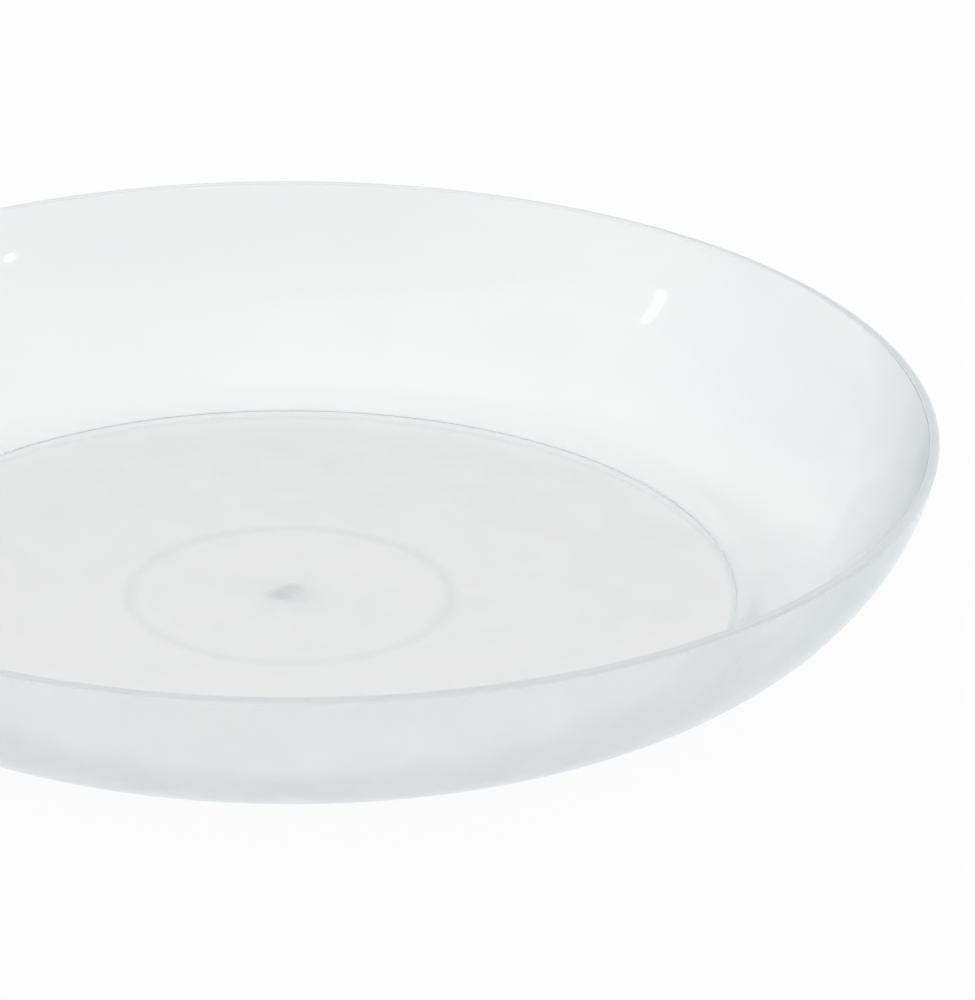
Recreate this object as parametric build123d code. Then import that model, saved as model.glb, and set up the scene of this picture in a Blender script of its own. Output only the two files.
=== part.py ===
from build123d import *
import math
import os

# A round plant saucer, moulded in one piece from translucent plastic.
# Millimetres, +Z up. The origin is the middle of the foot's underside, on which the saucer stands.
# The whole saucer is one section, drawn on one side of the axis and turned once round it.

# Rim and wall
rim_diameter = 160.0            # across the outer edge of the rim
wall_height = 23.84             # from the foot's underside to the rim's outer edge, 0.36 under its top
wall_thickness = 1.3            # the same from the foot to the rim
wall_start_angle = 15.0         # degrees above level, where the wall leaves the foot
rim_crown = 0.2                 # how far the rim is rounded up above the line between its edges

# Foot: a disc that stands proud of the wall's underside
foot_diameter = 116.4
foot_height = 0.95              # from the table to the wall's underside
foot_edge_bevel = 0.3           # on the edge that meets the table

# Floor: a flat plate, one step down from the wall
floor_diameter = 111.0          # at the top of the step
floor_thickness = 1.2
floor_step_draft = 12.0         # degrees from upright

# Relief under the middle of the floor, which keeps the gate off the table
relief_diameter = 40.0          # at the middle of its sloping edge
relief_edge_width = 2.6
relief_depth = 0.3

# Gate mark: a trimmed nib under the floor, and a shallow dish over it
nib_diameter = 2.6
nib_height = 0.18
dish_diameter = 5.6
dish_depth = 0.25


def section_point(radius, height):
    """A point of the section: its distance from the axis and its height."""
    return Vector(radius, height)


def along(angle):
    """The direction at an angle above level, in degrees."""
    return Vector(math.cos(math.radians(angle)), math.sin(math.radians(angle)))


def across(angle):
    """The direction square to along(angle), up and in towards the axis."""
    return Vector(-math.sin(math.radians(angle)), math.cos(math.radians(angle)))


def wall_lines():
    """The wall's two arcs, the rim's crown between them, and the corners at foot and floor.

    The outer arc leaves the foot's corner at the wall's start angle and ends at the rim's outer edge,
    which settles its radius and its turn. The inner arc has the same centre, so the wall is equally
    thick all the way. The crown is one low arc across the wall's end.
    """
    foot_corner = section_point(foot_diameter / 2, foot_height)
    outer_edge = section_point(rim_diameter / 2, wall_height)
    chord = outer_edge - foot_corner
    half_turn = math.degrees(math.atan2(chord.Y, chord.X)) - wall_start_angle
    outer_radius = chord.length / (2 * math.sin(math.radians(half_turn)))
    wall_end_angle = wall_start_angle + 2 * half_turn
    centre = foot_corner + across(wall_start_angle) * outer_radius

    inner_edge = outer_edge + across(wall_end_angle) * wall_thickness
    crest = (outer_edge + inner_edge) / 2 + along(wall_end_angle) * rim_crown
    inner_radius = outer_radius - wall_thickness
    floor_reach = floor_diameter / 2 - centre.X
    floor_drop = math.sqrt(inner_radius**2 - floor_reach**2)
    floor_corner = section_point(floor_diameter / 2, centre.Y - floor_drop)
    arcs = [
        TangentArc(foot_corner, outer_edge, tangent=along(wall_start_angle)),
        ThreePointArc(outer_edge, crest, inner_edge),
        TangentArc(inner_edge, floor_corner, tangent=-along(wall_end_angle)),
    ]
    return arcs, foot_corner, floor_corner


def underside_lines(foot_corner):
    """The section's underside, from the nib on the axis out to the corner of foot and wall."""
    nib_tip = section_point(0, relief_depth - nib_height)
    nib_edge = section_point(nib_diameter / 2, relief_depth - nib_height)
    nib_root = section_point(nib_diameter / 2, relief_depth)
    relief_inner = section_point((relief_diameter - relief_edge_width) / 2, relief_depth)
    relief_outer = section_point((relief_diameter + relief_edge_width) / 2, 0)
    bevel_inner = section_point(foot_diameter / 2 - foot_edge_bevel, 0)
    bevel_outer = section_point(foot_diameter / 2, foot_edge_bevel)
    corners = [nib_tip, nib_edge, nib_root, relief_inner, relief_outer]
    corners += [bevel_inner, bevel_outer, foot_corner]
    return [Line(start, end) for start, end in zip(corners, corners[1:])], nib_tip


def floor_lines(floor_corner):
    """The top of the floor, from the top of its step in to the gate's dish on the axis."""
    step_depth = floor_corner.Y - floor_thickness
    step_run = step_depth * math.tan(math.radians(floor_step_draft))
    step_root = section_point(floor_diameter / 2 - step_run, floor_thickness)
    dish_edge = section_point(dish_diameter / 2, floor_thickness)
    dish_bottom = section_point(0, floor_thickness - dish_depth)
    lines = [
        Line(floor_corner, step_root),
        Line(step_root, dish_edge),
        TangentArc(dish_bottom, dish_edge, tangent=along(0)),
    ]
    return lines, dish_bottom


def saucer_section():
    """The closed section of the saucer on one side of the axis."""
    wall, foot_corner, floor_corner = wall_lines()
    underside, nib_tip = underside_lines(foot_corner)
    floor, dish_bottom = floor_lines(floor_corner)
    axis_line = [Line(dish_bottom, nib_tip)]
    return make_face(Curve() + underside + wall + floor + axis_line)


def build_saucer():
    """The saucer: its section turned once round the axis."""
    saucer = revolve(Plane.XZ * saucer_section(), Axis.Z)
    saucer.label = "saucer"
    return saucer


os.makedirs("parts", exist_ok=True)
export_step(build_saucer(), "parts/saucer.step")
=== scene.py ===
"""The looks of a round plant saucer, moulded in one piece from translucent plastic.

Metres, +Z up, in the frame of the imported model. The saucer stands on the floor with the middle of its
foot at the origin.
"""
from __future__ import annotations

import logging
import math
from dataclasses import dataclass
from enum import Enum

import bpy
import numpy as np
from mathutils import Matrix, Vector


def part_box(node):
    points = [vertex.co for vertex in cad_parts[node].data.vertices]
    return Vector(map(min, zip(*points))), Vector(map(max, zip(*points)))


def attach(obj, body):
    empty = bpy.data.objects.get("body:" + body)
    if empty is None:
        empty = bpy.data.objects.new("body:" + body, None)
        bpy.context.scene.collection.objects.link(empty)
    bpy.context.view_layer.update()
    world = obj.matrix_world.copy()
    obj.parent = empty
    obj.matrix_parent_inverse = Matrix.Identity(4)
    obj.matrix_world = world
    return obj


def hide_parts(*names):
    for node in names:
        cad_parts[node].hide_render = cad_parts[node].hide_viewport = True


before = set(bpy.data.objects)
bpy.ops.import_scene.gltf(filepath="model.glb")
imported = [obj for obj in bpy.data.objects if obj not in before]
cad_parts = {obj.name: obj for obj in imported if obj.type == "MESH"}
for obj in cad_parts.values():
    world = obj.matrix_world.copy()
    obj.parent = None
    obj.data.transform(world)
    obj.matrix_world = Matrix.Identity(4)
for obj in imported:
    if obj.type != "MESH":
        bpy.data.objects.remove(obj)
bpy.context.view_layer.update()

log = logging.getLogger("saucer")
MM = 0.001
LIGHT_BOUNCES = 24              # enough for light to cross the wall several times
BEYOND = 1.001                  # a point this many times a rounding's reach away lies beyond it
COOL = (0.66, 0.88, 1.0)        # the soft light that fine grain throws


class Side(Enum):
    """The finishes: polished where the pot stands, frosted on the wall and the rim, rubbed under the foot."""

    INSIDE = 0
    OUTSIDE = 1
    RIM = 2
    FOOT = 3


class Nodes:
    """A node tree under construction, with short ways to add nodes and join them.

    Attributes:
        FIRST_COLOUR: Number of the Mix node's input for its first colour.
        SECOND_COLOUR: Number of its input for the second colour.
        MIXED_COLOUR: Number of its output for a colour.
    """

    FIRST_COLOUR = 6
    SECOND_COLOUR = 7
    MIXED_COLOUR = 2

    def __init__(self, tree: bpy.types.NodeTree) -> None:
        """Takes a tree and empties it.

        Args:
            tree: The node tree of a material or of the world.
        """
        self.tree = tree
        tree.nodes.clear()

    def add(self, kind: str, inputs: dict | None = None, **settings: object) -> bpy.types.Node:
        """Adds a node, sets it up and fills its inputs.

        Args:
            kind: Kind of node, without the words ShaderNode.
            inputs: For each input, by name or number, the socket that feeds it or its value.
            settings: The node's own settings.

        Returns:
            The node.
        """
        node = self.tree.nodes.new("ShaderNode" + kind)
        for setting, value in settings.items():
            setattr(node, setting, value)
        for socket, value in (inputs or {}).items():
            if isinstance(value, bpy.types.NodeSocket):
                self.tree.links.new(value, node.inputs[socket])
            else:
                node.inputs[socket].default_value = value
        return node

    def maths(self, operation: str, *values: object) -> bpy.types.NodeSocket:
        """Does one sum with numbers or sockets.

        Args:
            operation: Name of the sum, such as ADD.
            values: Its terms.

        Returns:
            The socket with the result.
        """
        return self.add("Math", dict(enumerate(values)), operation=operation).outputs[0]

    def vector(self, operation: str, *values: object) -> bpy.types.Node:
        """Does one sum with vectors.

        Args:
            operation: Name of the sum, such as MULTIPLY.
            values: Its terms.

        Returns:
            The node, whose outputs are the vector and the number.
        """
        return self.add("VectorMath", dict(enumerate(values)), operation=operation)

    def fade(self, value: object, start: float, end: float, low: object, high: object) -> bpy.types.NodeSocket:
        """Turns a number into another, with a smooth step between two ends.

        Args:
            value: The number.
            start: Where the step starts.
            end: Where it ends.
            low: Result at the start and before.
            high: Result at the end and beyond.

        Returns:
            The socket with the result.
        """
        inputs = {"Value": value, "From Min": start, "From Max": end, "To Min": low, "To Max": high}
        return self.add("MapRange", inputs, interpolation_type="SMOOTHSTEP").outputs["Result"]

    def noise(self, place: object, size: float, detail: float) -> bpy.types.NodeSocket:
        """Cloudy noise.

        Args:
            place: Socket with the coordinates.
            size: Size of its largest spots, in the coordinates' unit.
            detail: How many finer layers it has.

        Returns:
            The socket with values around 0.5.
        """
        inputs = {"Vector": place, "Scale": 1.0 / size, "Detail": detail}
        return self.add("TexNoise", inputs).outputs[0]

    def blend(self, share: object, first: object, second: object) -> bpy.types.NodeSocket:
        """Blends two colours.

        Args:
            share: Share of the second one.
            first: Colour where the share is 0.
            second: Colour where the share is 1.

        Returns:
            The socket with the colour.
        """
        inputs = {"Factor": share, self.FIRST_COLOUR: first, self.SECOND_COLOUR: second}
        return self.add("Mix", inputs, data_type="RGBA").outputs[self.MIXED_COLOUR]


def arc(centre: np.ndarray, radius: float, start: float, end: float, count: int) -> np.ndarray:
    """Points on a circle of the section, evenly spaced in angle.

    The formula is centre + radius * (cos, sin) of an angle that runs from start to end.

    Args:
        centre: The circle's centre, as distance from the axis and height.
        radius: The circle's radius.
        start: Angle of the first point, in degrees above level, seen from the centre.
        end: Angle of the last point, in degrees.
        count: How many points there are, both ends included.

    Returns:
        An array of count rows and 2 columns.
    """
    angles = np.radians(np.linspace(start, end, count))
    return centre + radius * np.stack([np.cos(angles), np.sin(angles)], axis=-1)


def line(start: np.ndarray, end: np.ndarray, count: int) -> np.ndarray:
    """Points on a straight stretch of the section, evenly spaced from start to end.

    Args:
        start: First point.
        end: Last point.
        count: How many points there are, both ends included.

    Returns:
        An array of count rows and 2 columns.
    """
    share = np.linspace(0.0, 1.0, count)[:, None]
    return start + (end - start) * share


def soft_slope(start: np.ndarray, end: np.ndarray, count: int) -> np.ndarray:
    """A slope that leaves and arrives level: the height follows half a wave of a cosine.

    Args:
        start: First point.
        end: Last point.
        count: How many points there are, both ends included.

    Returns:
        An array of count rows and 2 columns.
    """
    share = np.linspace(0.0, 1.0, count)
    rise = (1.0 - np.cos(np.pi * share)) / 2.0
    return np.stack([start[0] + (end[0] - start[0]) * share, start[1] + (end[1] - start[1]) * rise], axis=-1)


def eased(start: np.ndarray, end: np.ndarray, start_slope: float, end_slope: float, count: int) -> np.ndarray:
    """A stretch whose height is a cubic in the distance from the axis, with a given slope at each end.

    With s from 0 to 1 and the run w, the height is (2s^3 - 3s^2 + 1) z0 + (s^3 - 2s^2 + s) w m0
    + (3s^2 - 2s^3) z1 + (s^3 - s^2) w m1.

    Args:
        start: First point.
        end: Last point.
        start_slope: Rise over run at the start.
        end_slope: Rise over run at the end.
        count: How many points there are, both ends included.

    Returns:
        An array of count rows and 2 columns.
    """
    s = np.linspace(0.0, 1.0, count)
    run = end[0] - start[0]
    height = (2 * s**3 - 3 * s**2 + 1) * start[1] + (s**3 - 2 * s**2 + s) * run * start_slope
    height += (3 * s**2 - 2 * s**3) * end[1] + (s**3 - s**2) * run * end_slope
    return np.stack([start[0] + run * s, height], axis=-1)


def beyond(points: np.ndarray, corner: np.ndarray, reach: float) -> np.ndarray:
    """For each point, whether its straight distance from the corner is clearly more than the reach.

    Args:
        points: The points.
        corner: The corner.
        reach: The distance.

    Returns:
        An array with true or false for each point.
    """
    return np.hypot(*(points - corner).T) > reach * BEYOND


def rounded(before: np.ndarray, after: np.ndarray, reach: float, count: int) -> np.ndarray:
    """Joins two stretches that meet in a corner, with the corner rounded.

    Each stretch is cut back by reach. Between the cut ends runs a quadratic curve whose middle control
    point is the corner: (1 - s)^2 * a + 2 s (1 - s) * corner + s^2 * b.

    Args:
        before: Points that end in the corner.
        after: Points that start in the corner.
        reach: How far from the corner the rounding starts and ends.
        count: How many points the rounding has.

    Returns:
        The joined points.
    """
    corner = before[-1]
    first = before[beyond(before, corner, reach)]
    last = after[beyond(after, corner, reach)]
    towards_first = (first[-1] - corner) / np.hypot(*(first[-1] - corner))
    towards_last = (last[0] - corner) / np.hypot(*(last[0] - corner))
    cut_first = corner + towards_first * reach
    cut_last = corner + towards_last * reach
    share = np.linspace(0.0, 1.0, count)[:, None]
    curve = (1 - share) ** 2 * cut_first + 2 * share * (1 - share) * corner + share**2 * cut_last
    return np.vstack([first, curve, last])


@dataclass(frozen=True)
class Mark:
    """A ring or a spot that blends another tint, roughness and milkiness into the plastic: painted shade under
    and on the floor, painted light on the wall.

    Attributes:
        radius: Radius of the ring, in metres, or 0 for a spot.
        reach: How far the mark fades out from there, in metres.
        tint: Colour that the mark blends in, which paints shade under and on the floor and paints light on the
            wall.
        cover: How much of that colour it takes on.
        rougher: What the mark adds to the roughness.
        milkier: Share of the clearness that the mark takes away.
        centre: Middle of the ring or spot, in metres.
    """

    radius: float
    reach: float
    tint: tuple[float, float, float]
    cover: float
    rougher: float
    milkier: float
    centre: tuple[float, float] = (0.0, 0.0)


@dataclass(frozen=True)
class Hairlines:
    """Fine scratches that run one way.

    Attributes:
        turn: Their direction, in radians.
        width: How far apart they are, in metres.
        length: How long they are, in metres.
    """

    turn: float
    width: float
    length: float


@dataclass(frozen=True)
class Plastic:
    """The translucent plastic with one surface finish.

    Attributes:
        name: Name of the material.
        tint: Colour of the plastic where it is thinnest.
        deep_tint: Colour where the flow of the melt left it a little denser.
        roughness: Mean roughness of the surface.
        spread: How much the roughness varies from place to place.
        clearness: Share of the light that passes, against the share that the milky plastic scatters.
        skin: Weight of the smooth skin of the melt over the grain.
        skin_roughness: Roughness of that skin.
        bloom: Weight of the soft light that the fine grain throws at low angles.
        bloom_tint: Colour of that light.
        bloom_width: Its roughness.
        grain_size: Size of the surface's grain, in metres.
        grain_depth: Height of that grain, in metres.
        scratches: Strength of the fine scratches from use, from 0 to 1.
        marks: Rings and spots whose tints are painted shade and painted light, with their own roughness and
            milkiness.
        refraction: Index of refraction.
        cloud_size: Size of the clouds in the tint, in metres.
        cloud_detail: How many finer layers the clouds have.
        cloud_edges: Values of the clouds' noise where the tint starts and ends to change.
        wear_size: Size of the patches of wear in the roughness, in metres.
        wear_detail: How many finer layers the wear has.
        wear_edges: Values of the wear's noise where the roughness starts and ends to change.
        grain_detail: How many finer layers the grain has.
        scratch_roughness: What a scratch of full strength adds to the roughness.
        scratch_edges: Values of the scratches' noise where a scratch starts and has its full strength.
        scratch_ways: The scratches, for each way that they run.
    """

    name: str
    tint: tuple[float, float, float]
    deep_tint: tuple[float, float, float]
    roughness: float
    spread: float
    clearness: float
    skin: float = 0.0
    skin_roughness: float = 0.1
    bloom: float = 0.2
    bloom_tint: tuple[float, float, float] = COOL
    bloom_width: float = 0.5
    grain_size: float = 0.22 * MM
    grain_depth: float = 0.0015 * MM
    scratches: float = 0.0
    marks: tuple[Mark, ...] = ()
    refraction: float = 1.49
    cloud_size: float = 26.0 * MM
    cloud_detail: float = 3.0
    cloud_edges: tuple[float, float] = (0.35, 0.65)
    wear_size: float = 7.0 * MM
    wear_detail: float = 4.0
    wear_edges: tuple[float, float] = (0.3, 0.7)
    grain_detail: float = 2.0
    scratch_roughness: float = 0.2
    scratch_edges: tuple[float, float] = (0.66, 0.80)
    scratch_ways: tuple[Hairlines, ...] = (
        Hairlines(turn=0.5, width=0.35 * MM, length=30.0 * MM),
        Hairlines(turn=2.2, width=0.28 * MM, length=22.0 * MM),
    )

    def material(self) -> bpy.types.Material:
        """Builds the finish as shader nodes.

        Returns:
            The material.
        """
        material = bpy.data.materials.new(self.name)
        material.use_nodes = True
        nodes = Nodes(material.node_tree)
        place = nodes.add("TexCoord").outputs["Object"]
        clouds = nodes.noise(place, self.cloud_size, self.cloud_detail)
        dense = nodes.fade(clouds, *self.cloud_edges, 0.0, 1.0)
        colour = nodes.blend(dense, (*self.tint, 1.0), (*self.deep_tint, 1.0))
        wear = nodes.noise(place, self.wear_size, self.wear_detail)
        smoothest, roughest = self.roughness - self.spread, self.roughness + self.spread
        roughness = nodes.fade(wear, *self.wear_edges, smoothest, roughest)
        clearness = self.clearness
        # The marks blend painted shade and painted light into the colour, and change the roughness and the
        # clearness.
        for mark in self.marks:
            strength = self.strength(nodes, place, mark)
            colour = nodes.blend(nodes.maths("MULTIPLY", strength, mark.cover), colour, (*mark.tint, 1.0))
            roughness = nodes.maths("MULTIPLY_ADD", strength, mark.rougher, roughness)
            kept = nodes.fade(strength, 0.0, 1.0, 1.0, 1.0 - mark.milkier)
            clearness = nodes.maths("MULTIPLY", kept, clearness)
        lines = self.scratch_lines(nodes, place)
        roughness = nodes.maths("MULTIPLY_ADD", lines, self.scratch_roughness * self.scratches, roughness)
        grain = nodes.noise(place, self.grain_size, self.grain_detail)
        relief = nodes.add("Bump", {"Strength": 1.0, "Distance": self.grain_depth, "Height": grain})
        plastic = nodes.add("BsdfPrincipled", {
            "Base Color": colour,
            "Roughness": roughness,
            "IOR": self.refraction,
            "Transmission Weight": clearness,
            "Coat Weight": self.skin,
            "Coat Roughness": self.skin_roughness,
            "Coat IOR": self.refraction,
            "Sheen Weight": self.bloom,
            "Sheen Roughness": self.bloom_width,
            "Sheen Tint": (*self.bloom_tint, 1.0),
            "Normal": relief.outputs["Normal"],
        })
        nodes.add("OutputMaterial", {"Surface": plastic.outputs["BSDF"]})
        return material

    @staticmethod
    def strength(nodes: Nodes, place: bpy.types.NodeSocket, mark: Mark) -> bpy.types.NodeSocket:
        """How strong a mark is: 1 on its ring or spot, and 0 beyond its reach.

        Args:
            nodes: The tree that gets the nodes.
            place: Socket with the coordinates.
            mark: The mark.

        Returns:
            The socket with the strength.
        """
        off = nodes.vector("SUBTRACT", place, (*mark.centre, 0.0)).outputs["Vector"]
        level = nodes.vector("MULTIPLY", off, (1.0, 1.0, 0.0)).outputs["Vector"]
        distance = nodes.vector("LENGTH", level).outputs["Value"]
        apart = nodes.maths("ABSOLUTE", nodes.maths("SUBTRACT", distance, mark.radius))
        return nodes.fade(apart, 0.0, mark.reach, 1.0, 0.0)

    def scratch_lines(self, nodes: Nodes, place: bpy.types.NodeSocket) -> bpy.types.NodeSocket:
        """The hairlines: noise that is drawn out along them, cut to its crests.

        Args:
            nodes: The tree that gets the nodes.
            place: Socket with the coordinates.

        Returns:
            The socket, which is 1 on a hairline and 0 beside it.
        """
        lines = []
        for way in self.scratch_ways:
            mapping = nodes.add("Mapping", {
                "Vector": place,
                "Rotation": (0.0, 0.0, way.turn),
                "Scale": (1.0 / way.length, 1.0 / way.width, 1.0 / way.length),
            })
            streaks = nodes.noise(mapping.outputs["Vector"], size=1.0, detail=1.0)
            lines.append(nodes.fade(streaks, *self.scratch_edges, 0.0, 1.0))
        return nodes.maths("MAXIMUM", *lines)


@dataclass(frozen=True)
class Counts:
    """How many points each stretch of the section has, both ends included, in the order of the section."""

    nib_tip: int = 4
    nib_side: int = 9
    relief: int = 5
    relief_slope: int = 13
    foot: int = 8
    foot_side: int = 21
    wall: int = 50
    crown: int = 15
    rim_corner: int = 7
    step_corner: int = 5
    step: int = 6
    rise: int = 21
    plate: int = 8
    dish: int = 12


@dataclass
class Saucer:
    """The saucer: one section turned round the axis, with its four finishes.

    Sizes are in metres and angles in degrees.

    Attributes:
        rim_radius: Radius of the rim's outer edge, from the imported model.
        height: Height of the rim's top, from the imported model.
        finishes: The finish of each side.
        wall: Thickness of the wall.
        rim_drop: How far the rim's outer edge lies under the top.
        rim_crown: How far the rim is rounded up above the line between its edges.
        rim_edge: How far from the rim's two corners their rounding reaches.
        wall_start: Angle above level at which the wall leaves the foot's corner.
        foot_radius: Radius of the foot's corner, from which the wall's arc starts.
        foot_height: Height of that corner.
        foot_flat: Radius up to which the foot is flat.
        foot_blend: Radius from which the wall's outside is the plain arc.
        floor_radius: Radius of the floor at the top of the step.
        floor_height: Height of the floor's flat middle.
        floor_rise: How far the floor rises from there to the step.
        floor_rise_start: Radius at which it starts to rise.
        rise_steepness: Slope of the floor at the step, as a multiple of the mean slope of the rise.
        step_draft: Angle of the step from upright.
        step_edge: How far from the step's two corners their rounding reaches.
        relief_radius: Radius of the relief under the floor, at the middle of its sloping edge.
        relief_edge: Width of that edge.
        relief_depth: Depth of the relief.
        nib_radius: Radius of the trimmed nib, at the middle of its sloping side.
        nib_height: How far the nib stands out of the relief.
        nib_slope: Width of the nib's side.
        dish_radius: Radius of the dish over the nib.
        dish_depth: Depth of the dish.
        polished_rows: Rows of faces low on the rim's inner corner that are polished like the inside.
        segments: Faces round the axis.
        counts: Points along the section.
    """

    rim_radius: float
    height: float
    finishes: dict[Side, Plastic]
    wall: float = 1.3 * MM
    rim_drop: float = 0.36 * MM
    rim_crown: float = 0.2 * MM
    rim_edge: float = 0.3 * MM
    wall_start: float = 15.0
    foot_radius: float = 58.2 * MM
    foot_height: float = 0.95 * MM
    foot_flat: float = 54.8 * MM
    foot_blend: float = 59.2 * MM
    floor_radius: float = 55.5 * MM
    floor_height: float = 1.2 * MM
    floor_rise: float = 0.3 * MM
    floor_rise_start: float = 34.0 * MM
    rise_steepness: float = 1.5
    step_draft: float = 35.0
    step_edge: float = 0.08 * MM
    relief_radius: float = 20.0 * MM
    relief_edge: float = 3.0 * MM
    relief_depth: float = 0.012 * MM
    nib_radius: float = 1.3 * MM
    nib_height: float = 0.011 * MM
    nib_slope: float = 1.0 * MM
    dish_radius: float = 2.8 * MM
    dish_depth: float = 0.17 * MM
    polished_rows: int = 3
    segments: int = 384
    counts: Counts = Counts()

    def wall_stretches(self) -> tuple[np.ndarray, np.ndarray, np.ndarray]:
        """The wall's outer arc, the rim's crown and the wall's inner arc.

        The outer arc leaves the foot's corner at the wall's start angle and ends at the rim's outer
        edge, which settles its radius and its turn. The inner arc has the same centre. The crown
        rises over the line between the two edges by 4 s (1 - s) of its height.

        Returns:
            Points of the outer arc, of the crown, and of the inner arc down to the floor.
        """
        start = math.radians(self.wall_start)
        foot_corner = np.array([self.foot_radius, self.foot_height])
        outer_edge = np.array([self.rim_radius, self.height - self.rim_drop])
        chord = outer_edge - foot_corner
        half_turn = math.atan2(chord[1], chord[0]) - start
        radius = math.hypot(*chord) / (2 * math.sin(half_turn))
        centre = foot_corner + radius * np.array([-math.sin(start), math.cos(start)])
        first = self.wall_start - 90.0
        last = first + math.degrees(2 * half_turn)
        inner_radius = radius - self.wall
        floor_angle = -math.degrees(math.acos((self.floor_radius - centre[0]) / inner_radius))
        outer = arc(centre, radius, first, last, self.counts.wall)
        inner = arc(centre, inner_radius, last, floor_angle, self.counts.wall)
        share = np.linspace(0.0, 1.0, self.counts.crown)[:, None]
        upward = np.array([-math.sin(math.radians(last)), math.cos(math.radians(last))])
        crown = line(outer[-1], inner[0], self.counts.crown) + 4 * share * (1 - share) * self.rim_crown * upward
        return outer, crown, inner

    def underside(self) -> np.ndarray:
        """The nib's tip and side, the relief, its sloping edge and the foot, from the axis outwards.

        Returns:
            Their points.
        """
        nib_z = self.relief_depth - self.nib_height
        nib_in, nib_out = self.nib_radius - self.nib_slope / 2, self.nib_radius + self.nib_slope / 2
        relief_in = self.relief_radius - self.relief_edge / 2
        relief_out = self.relief_radius + self.relief_edge / 2
        nib_tip = line(np.array([0.0, nib_z]), np.array([nib_in, nib_z]), self.counts.nib_tip)
        nib_side = soft_slope(nib_tip[-1], np.array([nib_out, self.relief_depth]), self.counts.nib_side)
        relief = line(nib_side[-1], np.array([relief_in, self.relief_depth]), self.counts.relief)
        slope = soft_slope(relief[-1], np.array([relief_out, 0.0]), self.counts.relief_slope)
        foot = line(slope[-1], np.array([self.foot_flat, 0.0]), self.counts.foot)
        return np.vstack([nib_tip, nib_side[1:], relief[1:], slope[1:], foot[1:]])

    def over_floor(self, wall_end: np.ndarray) -> tuple[np.ndarray, np.ndarray, np.ndarray]:
        """The step, the floor's rise and its flat middle with the dish, from the wall inwards.

        Args:
            wall_end: The lower end of the wall's inside.

        Returns:
            Points of the step, of the rise, and of the middle with the dish.
        """
        step_foot = self.floor_height + self.floor_rise
        step_run = (wall_end[1] - step_foot) * math.tan(math.radians(self.step_draft))
        step = line(wall_end, np.array([self.floor_radius - step_run, step_foot]), self.counts.step)
        plate_start = np.array([self.floor_rise_start, self.floor_height])
        mean_slope = self.floor_rise / (step[-1][0] - plate_start[0])
        rise = eased(step[-1], plate_start, mean_slope * self.rise_steepness, 0.0, self.counts.rise)
        plate = line(plate_start, np.array([self.dish_radius, self.floor_height]), self.counts.plate)
        dish_middle = np.array([0.0, self.floor_height - self.dish_depth])
        dish = soft_slope(plate[-1], dish_middle, self.counts.dish)
        return step, rise, np.vstack([plate, dish[1:]])

    def section(self) -> tuple[np.ndarray, np.ndarray]:
        """The section from the axis under the foot, out and up to the rim, and back in to the axis.

        Returns:
            The section's points, and for each stretch between two of them the side that it is on.
        """
        outer, crown, inner = self.wall_stretches()
        under = self.underside()
        foot_end = len(under) - 1
        outer = outer[outer[:, 0] > self.foot_blend]
        wall_slope = (outer[1][1] - outer[0][1]) / (outer[1][0] - outer[0][0])
        foot_side = eased(under[-1], outer[0], 0.0, wall_slope, self.counts.foot_side)
        outside = np.vstack([under, foot_side[1:], outer[1:]])
        rim_start = len(outside) - 1
        rim = rounded(outside, crown, self.rim_edge, self.counts.rim_corner)
        shell = rounded(rim, inner, self.rim_edge, self.counts.rim_corner)
        inner_rows = np.count_nonzero(beyond(inner, inner[0], self.rim_edge))
        rim_end = len(shell) - inner_rows - self.polished_rows

        step, rise, middle = self.over_floor(inner[-1])
        stepped = rounded(shell, step, self.step_edge, self.counts.step_corner)
        risen = rounded(stepped, rise, self.step_edge, self.counts.step_corner)
        points = np.vstack([risen, middle[1:]])
        stretch = np.arange(len(points) - 1)
        above = np.where(stretch < rim_end, Side.RIM.value, Side.INSIDE.value)
        below = np.where(stretch < foot_end, Side.FOOT.value, Side.OUTSIDE.value)
        return points, np.where(stretch < rim_start, below, above)

    def surface(self, points: np.ndarray) -> tuple[np.ndarray, list[list[int]]]:
        """Turns the section round the axis.

        A point at distance r and height z of the section goes to (r cos t, r sin t, z) at each
        angle t. The two ends of the section lie on the axis and close as fans of triangles.

        Args:
            points: The section's points.

        Returns:
            The vertices, and the faces row by row, with the fan under the saucer and the one over it last.
        """
        ring = points[1:-1]
        turn = np.linspace(0.0, 2.0 * np.pi, self.segments, endpoint=False)
        x = ring[:, :1] * np.cos(turn)
        y = ring[:, :1] * np.sin(turn)
        z = np.repeat(ring[:, 1:], self.segments, axis=1)
        grid = np.stack([x, y, z], axis=-1).reshape(-1, 3)
        bottom, top = len(grid), len(grid) + 1
        vertices = np.vstack([grid, [0.0, 0.0, points[0][1]], [0.0, 0.0, points[-1][1]]])

        here = np.arange(self.segments)
        following = (here + 1) % self.segments
        rows = np.arange(len(ring) - 1)[:, None] * self.segments
        next_rows = rows + self.segments
        corners = [rows + here, rows + following, next_rows + following, next_rows + here]
        quads = np.stack(corners, axis=-1).reshape(-1, 4)
        last_row = (len(ring) - 1) * self.segments
        under_fan = np.stack([np.full_like(here, bottom), following, here], axis=-1)
        over_fan = np.stack([np.full_like(here, top), last_row + here, last_row + following], axis=-1)
        return vertices, [*quads.tolist(), *under_fan.tolist(), *over_fan.tolist()]

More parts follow.
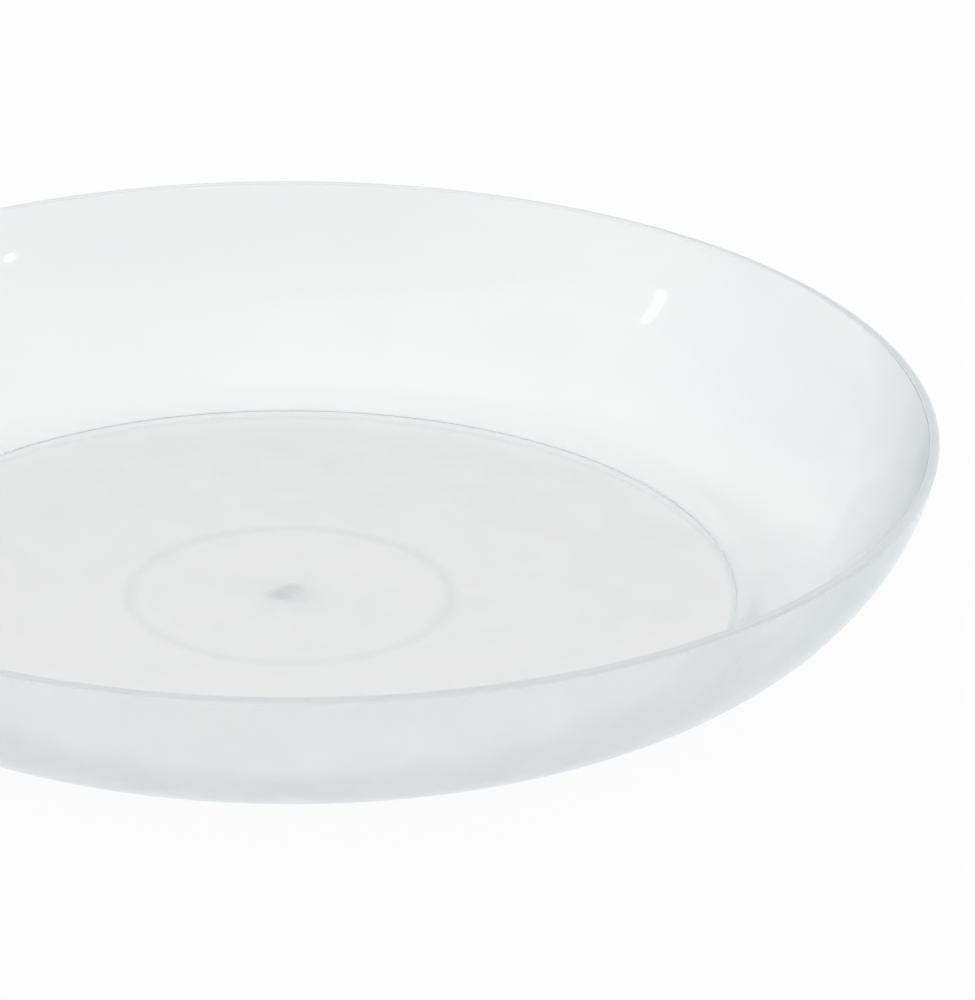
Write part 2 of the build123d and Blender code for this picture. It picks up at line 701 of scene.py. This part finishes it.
    def build(self) -> bpy.types.Object:
        """Makes the moulding and gives each stretch of its section the finish of its side.

        Returns:
            The saucer's object.
        """
        points, sides = self.section()
        vertices, faces = self.surface(points)
        mesh = bpy.data.meshes.new("saucer_moulding")
        mesh.from_pydata(vertices.tolist(), [], faces)
        slots = np.repeat([*sides[1:-1], sides[0], sides[-1]], self.segments).astype(np.int32)
        for side in Side:
            mesh.materials.append(self.finishes[side].material())
        mesh.polygons.foreach_set("material_index", slots)
        mesh.polygons.foreach_set("use_smooth", np.ones(len(slots), dtype=bool))
        mesh.update()
        moulding = bpy.data.objects.new("saucer_moulding", mesh)
        bpy.context.scene.collection.objects.link(moulding)
        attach(moulding, "root")
        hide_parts("saucer")
        return moulding


@dataclass(frozen=True)
class Softbox:
    """A rectangular lamp, hung between two points, that looks at the saucer.

    Attributes:
        name: Name of the lamp.
        first_end: Middle of its lower edge, in metres.
        second_end: Middle of its upper edge, in metres.
        width: Its width, in metres.
        power: Its power, in watts.
    """

    name: str
    first_end: tuple[float, float, float]
    second_end: tuple[float, float, float]
    width: float
    power: float

    def hang(self) -> bpy.types.Object:
        """Hangs the lamp in its place.

        Returns:
            The lamp's object.
        """
        low, high = Vector(self.first_end), Vector(self.second_end)
        data = bpy.data.lights.new(self.name, "AREA")
        data.shape = "RECTANGLE"
        data.size = self.width
        data.size_y = (high - low).length
        data.energy = self.power
        lamp = bpy.data.objects.new(self.name, data)
        middle = (low + high) / 2
        away = middle.normalized()
        across = (high - low).cross(away).normalized()
        turned = Matrix((across, away.cross(across), away)).transposed()
        lamp.matrix_world = Matrix.Translation(middle) @ turned.to_4x4()
        bpy.context.scene.collection.objects.link(lamp)
        return lamp


@dataclass(frozen=True)
class Panel:
    """A soft-edged grey panel beside the set, which the plastic mirrors and the camera doesn't see.

    Attributes:
        direction: Where its middle is, seen from the saucer, as a vector about 1 long.
        colour: Its colour.
        edge: Cosine of the angle from its middle at which it has faded out.
        core: Cosine of the angle up to which it has its full colour.
    """

    direction: tuple[float, float, float]
    colour: tuple[float, float, float]
    edge: float
    core: float


@dataclass(frozen=True)
class Viewpoint:
    """The photograph's camera, found from the ellipses of rim, floor and foot.

    Attributes:
        distance: From the middle of the foot, in metres.
        elevation: Of the camera above level, seen from the middle of the foot, in degrees.
        pitch: How far the view looks down, in degrees.
        yaw: How far it looks past the axis, in degrees towards +X.
        roll: How far the picture leans, in degrees.
        focal_pixels: Focal length, in pixels of the picture.
        long_side_pixels: The picture's long side.
        sensor: Sensor width, in millimetres.
        nearest: Nearest distance that the camera sees, in metres.
        farthest: Farthest distance that it sees, in metres.
    """

    distance: float = 1.05736
    elevation: float = 24.785
    pitch: float = 24.100
    yaw: float = 1.4526
    roll: float = -0.698
    focal_pixels: float = 8491.73
    long_side_pixels: float = 1000.0
    sensor: float = 36.0
    nearest: float = 0.05
    farthest: float = 50.0

    def set_up(self) -> bpy.types.Object:
        """Makes the camera and gives it to the scene.

        Returns:
            The camera's object.
        """
        data = bpy.data.cameras.new("photo_view")
        data.sensor_width = self.sensor
        data.lens = self.focal_pixels * self.sensor / self.long_side_pixels
        data.clip_start = self.nearest
        data.clip_end = self.farthest
        elevation, pitch = math.radians(self.elevation), math.radians(self.pitch)
        yaw, roll = math.radians(self.yaw), math.radians(self.roll)
        place = Vector((0.0, -math.cos(elevation), math.sin(elevation))) * self.distance
        ahead = Vector((math.sin(yaw) * math.cos(pitch), math.cos(yaw) * math.cos(pitch), -math.sin(pitch)))
        level = ahead.cross(Vector((0.0, 0.0, 1.0))).normalized()
        down = ahead.cross(level)
        across = math.cos(roll) * level + math.sin(roll) * down
        up = math.sin(roll) * level - math.cos(roll) * down
        camera = bpy.data.objects.new("photo_view", data)
        turned = Matrix((across, up, -ahead)).transposed()
        camera.matrix_world = Matrix.Translation(place) @ turned.to_4x4()
        bpy.context.scene.collection.objects.link(camera)
        bpy.context.scene.camera = camera
        return camera


@dataclass
class Studio:
    """The pale floor, the lamps, the grey panels and the soft white light from all round.

    Attributes:
        floor_half: Half the floor's width, in metres.
        floor_gap: How far the floor lies under the foot, in metres.
        floor_colour: Colour of the floor's paint.
        floor_glow: Share of white in what cameras, mirrors and clear pieces see of the floor.
        panels: The grey panels.
        lamps: The lamps.
    """

    floor_half: float = 3.0
    floor_gap: float = 0.05 * MM
    floor_colour: tuple[float, float, float] = (0.9, 0.9, 0.9)
    floor_glow: float = 0.93
    panels: tuple[Panel, ...] = (
        Panel(direction=(0.2, -0.97, 0.12), colour=(0.53, 0.57, 0.59), edge=0.3, core=0.95),
        Panel(direction=(0.0, 0.899, 0.438), colour=(0.6, 0.6, 0.6), edge=0.88, core=0.97),
        Panel(direction=(-0.91, 0.27, 0.32), colour=(0.70, 0.80, 0.85), edge=0.8, core=0.97),
    )
    lamps: tuple[Softbox, ...] = (
        Softbox("strip", first_end=(-1.256, -0.283, 0.552), second_end=(-1.111, -0.146, 0.864),
                width=0.012, power=0.26),
        Softbox("spot", first_end=(1.070, -0.718, 0.528), second_end=(1.058, -0.684, 0.598),
                width=0.02, power=0.08),
        Softbox("overhead", first_end=(-0.9, -1.2, 2.0), second_end=(-0.9, 1.2, 2.0), width=2.4, power=3.0),
    )

    def floor_material(self) -> bpy.types.Material:
        """A pale floor that cameras, mirrors and clear pieces see as nearly white.

        Returns:
            The material.
        """
        material = bpy.data.materials.new("pale_floor")
        material.use_nodes = True
        material.cycles.emission_sampling = "NONE"
        nodes = Nodes(material.node_tree)
        paint = nodes.add("BsdfDiffuse", {"Color": (*self.floor_colour, 1.0)})
        white = nodes.add("Emission", {"Strength": 1.0})
        amount = nodes.maths("MULTIPLY", self.seen_directly(nodes), self.floor_glow)
        mix = nodes.add("MixShader", {"Fac": amount, 1: paint.outputs[0], 2: white.outputs[0]})
        nodes.add("OutputMaterial", {"Surface": mix.outputs[0]})
        return material

    @staticmethod
    def seen_directly(nodes: Nodes) -> bpy.types.NodeSocket:
        """A number that is 1 for rays from the camera, a mirror or a clear piece, and 0 for others.

        Args:
            nodes: The tree that gets the nodes.

        Returns:
            The socket with the number.
        """
        path = nodes.add("LightPath").outputs
        mirrored = nodes.maths("MAXIMUM", path["Is Camera Ray"], path["Is Glossy Ray"])
        return nodes.maths("MAXIMUM", mirrored, path["Is Transmission Ray"])

    def build(self) -> None:
        """Lays the floor, hangs the lamps and sets the light from all round."""
        half, low = self.floor_half, -self.floor_gap
        corners = [(-half, -half, low), (half, -half, low), (half, half, low), (-half, half, low)]
        mesh = bpy.data.meshes.new("floor")
        mesh.from_pydata(corners, [], [(0, 1, 2, 3)])
        mesh.materials.append(self.floor_material())
        floor = bpy.data.objects.new("floor", mesh)
        bpy.context.scene.collection.objects.link(floor)
        for lamp in self.lamps:
            lamp.hang()
        world = bpy.data.worlds.new("studio")
        bpy.context.scene.world = world
        world.use_nodes = True
        world.cycles.sampling_method = "NONE"
        nodes = Nodes(world.node_tree)
        way = nodes.vector("NORMALIZE", nodes.add("TexCoord").outputs["Generated"]).outputs["Vector"]
        hidden = nodes.maths("SUBTRACT", 1.0, nodes.add("LightPath").outputs["Is Camera Ray"])
        colour = (1.0, 1.0, 1.0, 1.0)
        for panel in self.panels:
            towards = nodes.vector("DOT_PRODUCT", way, panel.direction).outputs["Value"]
            share = nodes.maths("MULTIPLY", nodes.fade(towards, panel.edge, panel.core, 0.0, 1.0), hidden)
            colour = nodes.blend(share, colour, (*panel.colour, 1.0))
        back = nodes.add("Background", {"Color": colour, "Strength": 1.0})
        nodes.add("OutputWorld", {"Surface": back.outputs[0]})


# Painted light: a lighter band low on the outside of the wall, where the bright floor lights it. Its lower
# roughness is the surface's own.
WALL_PAINTED_LIGHT = (
    Mark(radius=63.0 * MM, reach=9.0 * MM, tint=(1.0, 1.0, 1.0), cover=0.45, rougher=-0.08, milkier=0.0),
)
# Painted shade under the floor: a darker ring over the relief's sloping edge, and darker spots under the dish
# and the nib, darkest on one side. Their added roughness and milkiness are the plastic's own.
FOOT_PAINTED_SHADE = (
    Mark(radius=20.0 * MM, reach=1.6 * MM, tint=(0.84, 0.85, 0.855), cover=0.2, rougher=0.04, milkier=0.03),
    Mark(radius=0.0, reach=9.0 * MM, tint=(0.90, 0.92, 0.93), cover=0.2, rougher=0.03, milkier=0.05),
    Mark(radius=0.0, reach=4.2 * MM, tint=(0.78, 0.80, 0.81), cover=0.4, rougher=0.05, milkier=0.1),
    Mark(radius=0.0, reach=2.3 * MM, tint=(0.50, 0.58, 0.63), cover=0.4, rougher=0.06, milkier=0.2,
         centre=(-1.4 * MM, 0.0)),
)
# Painted shade: a darker line on the floor along the top of the step. Its added roughness and milkiness are the
# plastic's own.
FLOOR_LINE_PAINTED_SHADE = (
    Mark(radius=55.4 * MM, reach=0.7 * MM, tint=(0.78, 0.83, 0.85), cover=0.5, rougher=0.05, milkier=0.15),
)
FINISHES = {
    Side.INSIDE: Plastic(
        "polished_inside", tint=(0.99, 0.99, 0.988), deep_tint=(0.98, 0.984, 0.984), roughness=0.075,
        spread=0.015, clearness=0.96, grain_size=5.0 * MM, grain_depth=0.002 * MM, scratches=0.2,
        marks=FLOOR_LINE_PAINTED_SHADE),
    Side.OUTSIDE: Plastic(
        "frosted_outside", tint=(0.93, 0.938, 0.94), deep_tint=(0.925, 0.933, 0.935), roughness=0.22,
        spread=0.03, clearness=0.94, skin=1.0, skin_roughness=0.03, bloom=0.35, scratches=0.15,
        marks=WALL_PAINTED_LIGHT),
    Side.RIM: Plastic(
        "frosted_rim", tint=(0.965, 0.972, 0.973), deep_tint=(0.96, 0.967, 0.968), roughness=0.34,
        spread=0.03, clearness=0.3, skin=0.6, skin_roughness=0.15, bloom=0.15),
    Side.FOOT: Plastic(
        "rubbed_foot", tint=(0.982, 0.96, 0.953), deep_tint=(0.975, 0.953, 0.946), roughness=0.2,
        spread=0.02, clearness=0.975, skin=1.0, skin_roughness=0.06, scratches=0.15, marks=FOOT_PAINTED_SHADE),
}
STUDIO = Studio()


def main() -> None:
    """Builds the saucer and the studio in order, and reports each piece."""
    logging.basicConfig(level=logging.INFO, format="%(name)s: %(message)s")
    low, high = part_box("saucer")
    saucer = Saucer(rim_radius=(high[0] - low[0]) / 2, height=high[2], finishes=FINISHES)
    moulding = saucer.build()
    log.info("built %s with %d faces", moulding.name, len(moulding.data.polygons))
    STUDIO.build()
    log.info("built the studio")
    Viewpoint().set_up()
    paths = bpy.context.scene.cycles
    paths.max_bounces = paths.diffuse_bounces = LIGHT_BOUNCES
    paths.glossy_bounces = paths.transmission_bounces = LIGHT_BOUNCES
    bpy.context.scene.view_settings.view_transform = "Standard"
    log.info("wrote the two boxes")


if __name__ == "__main__":
    main()
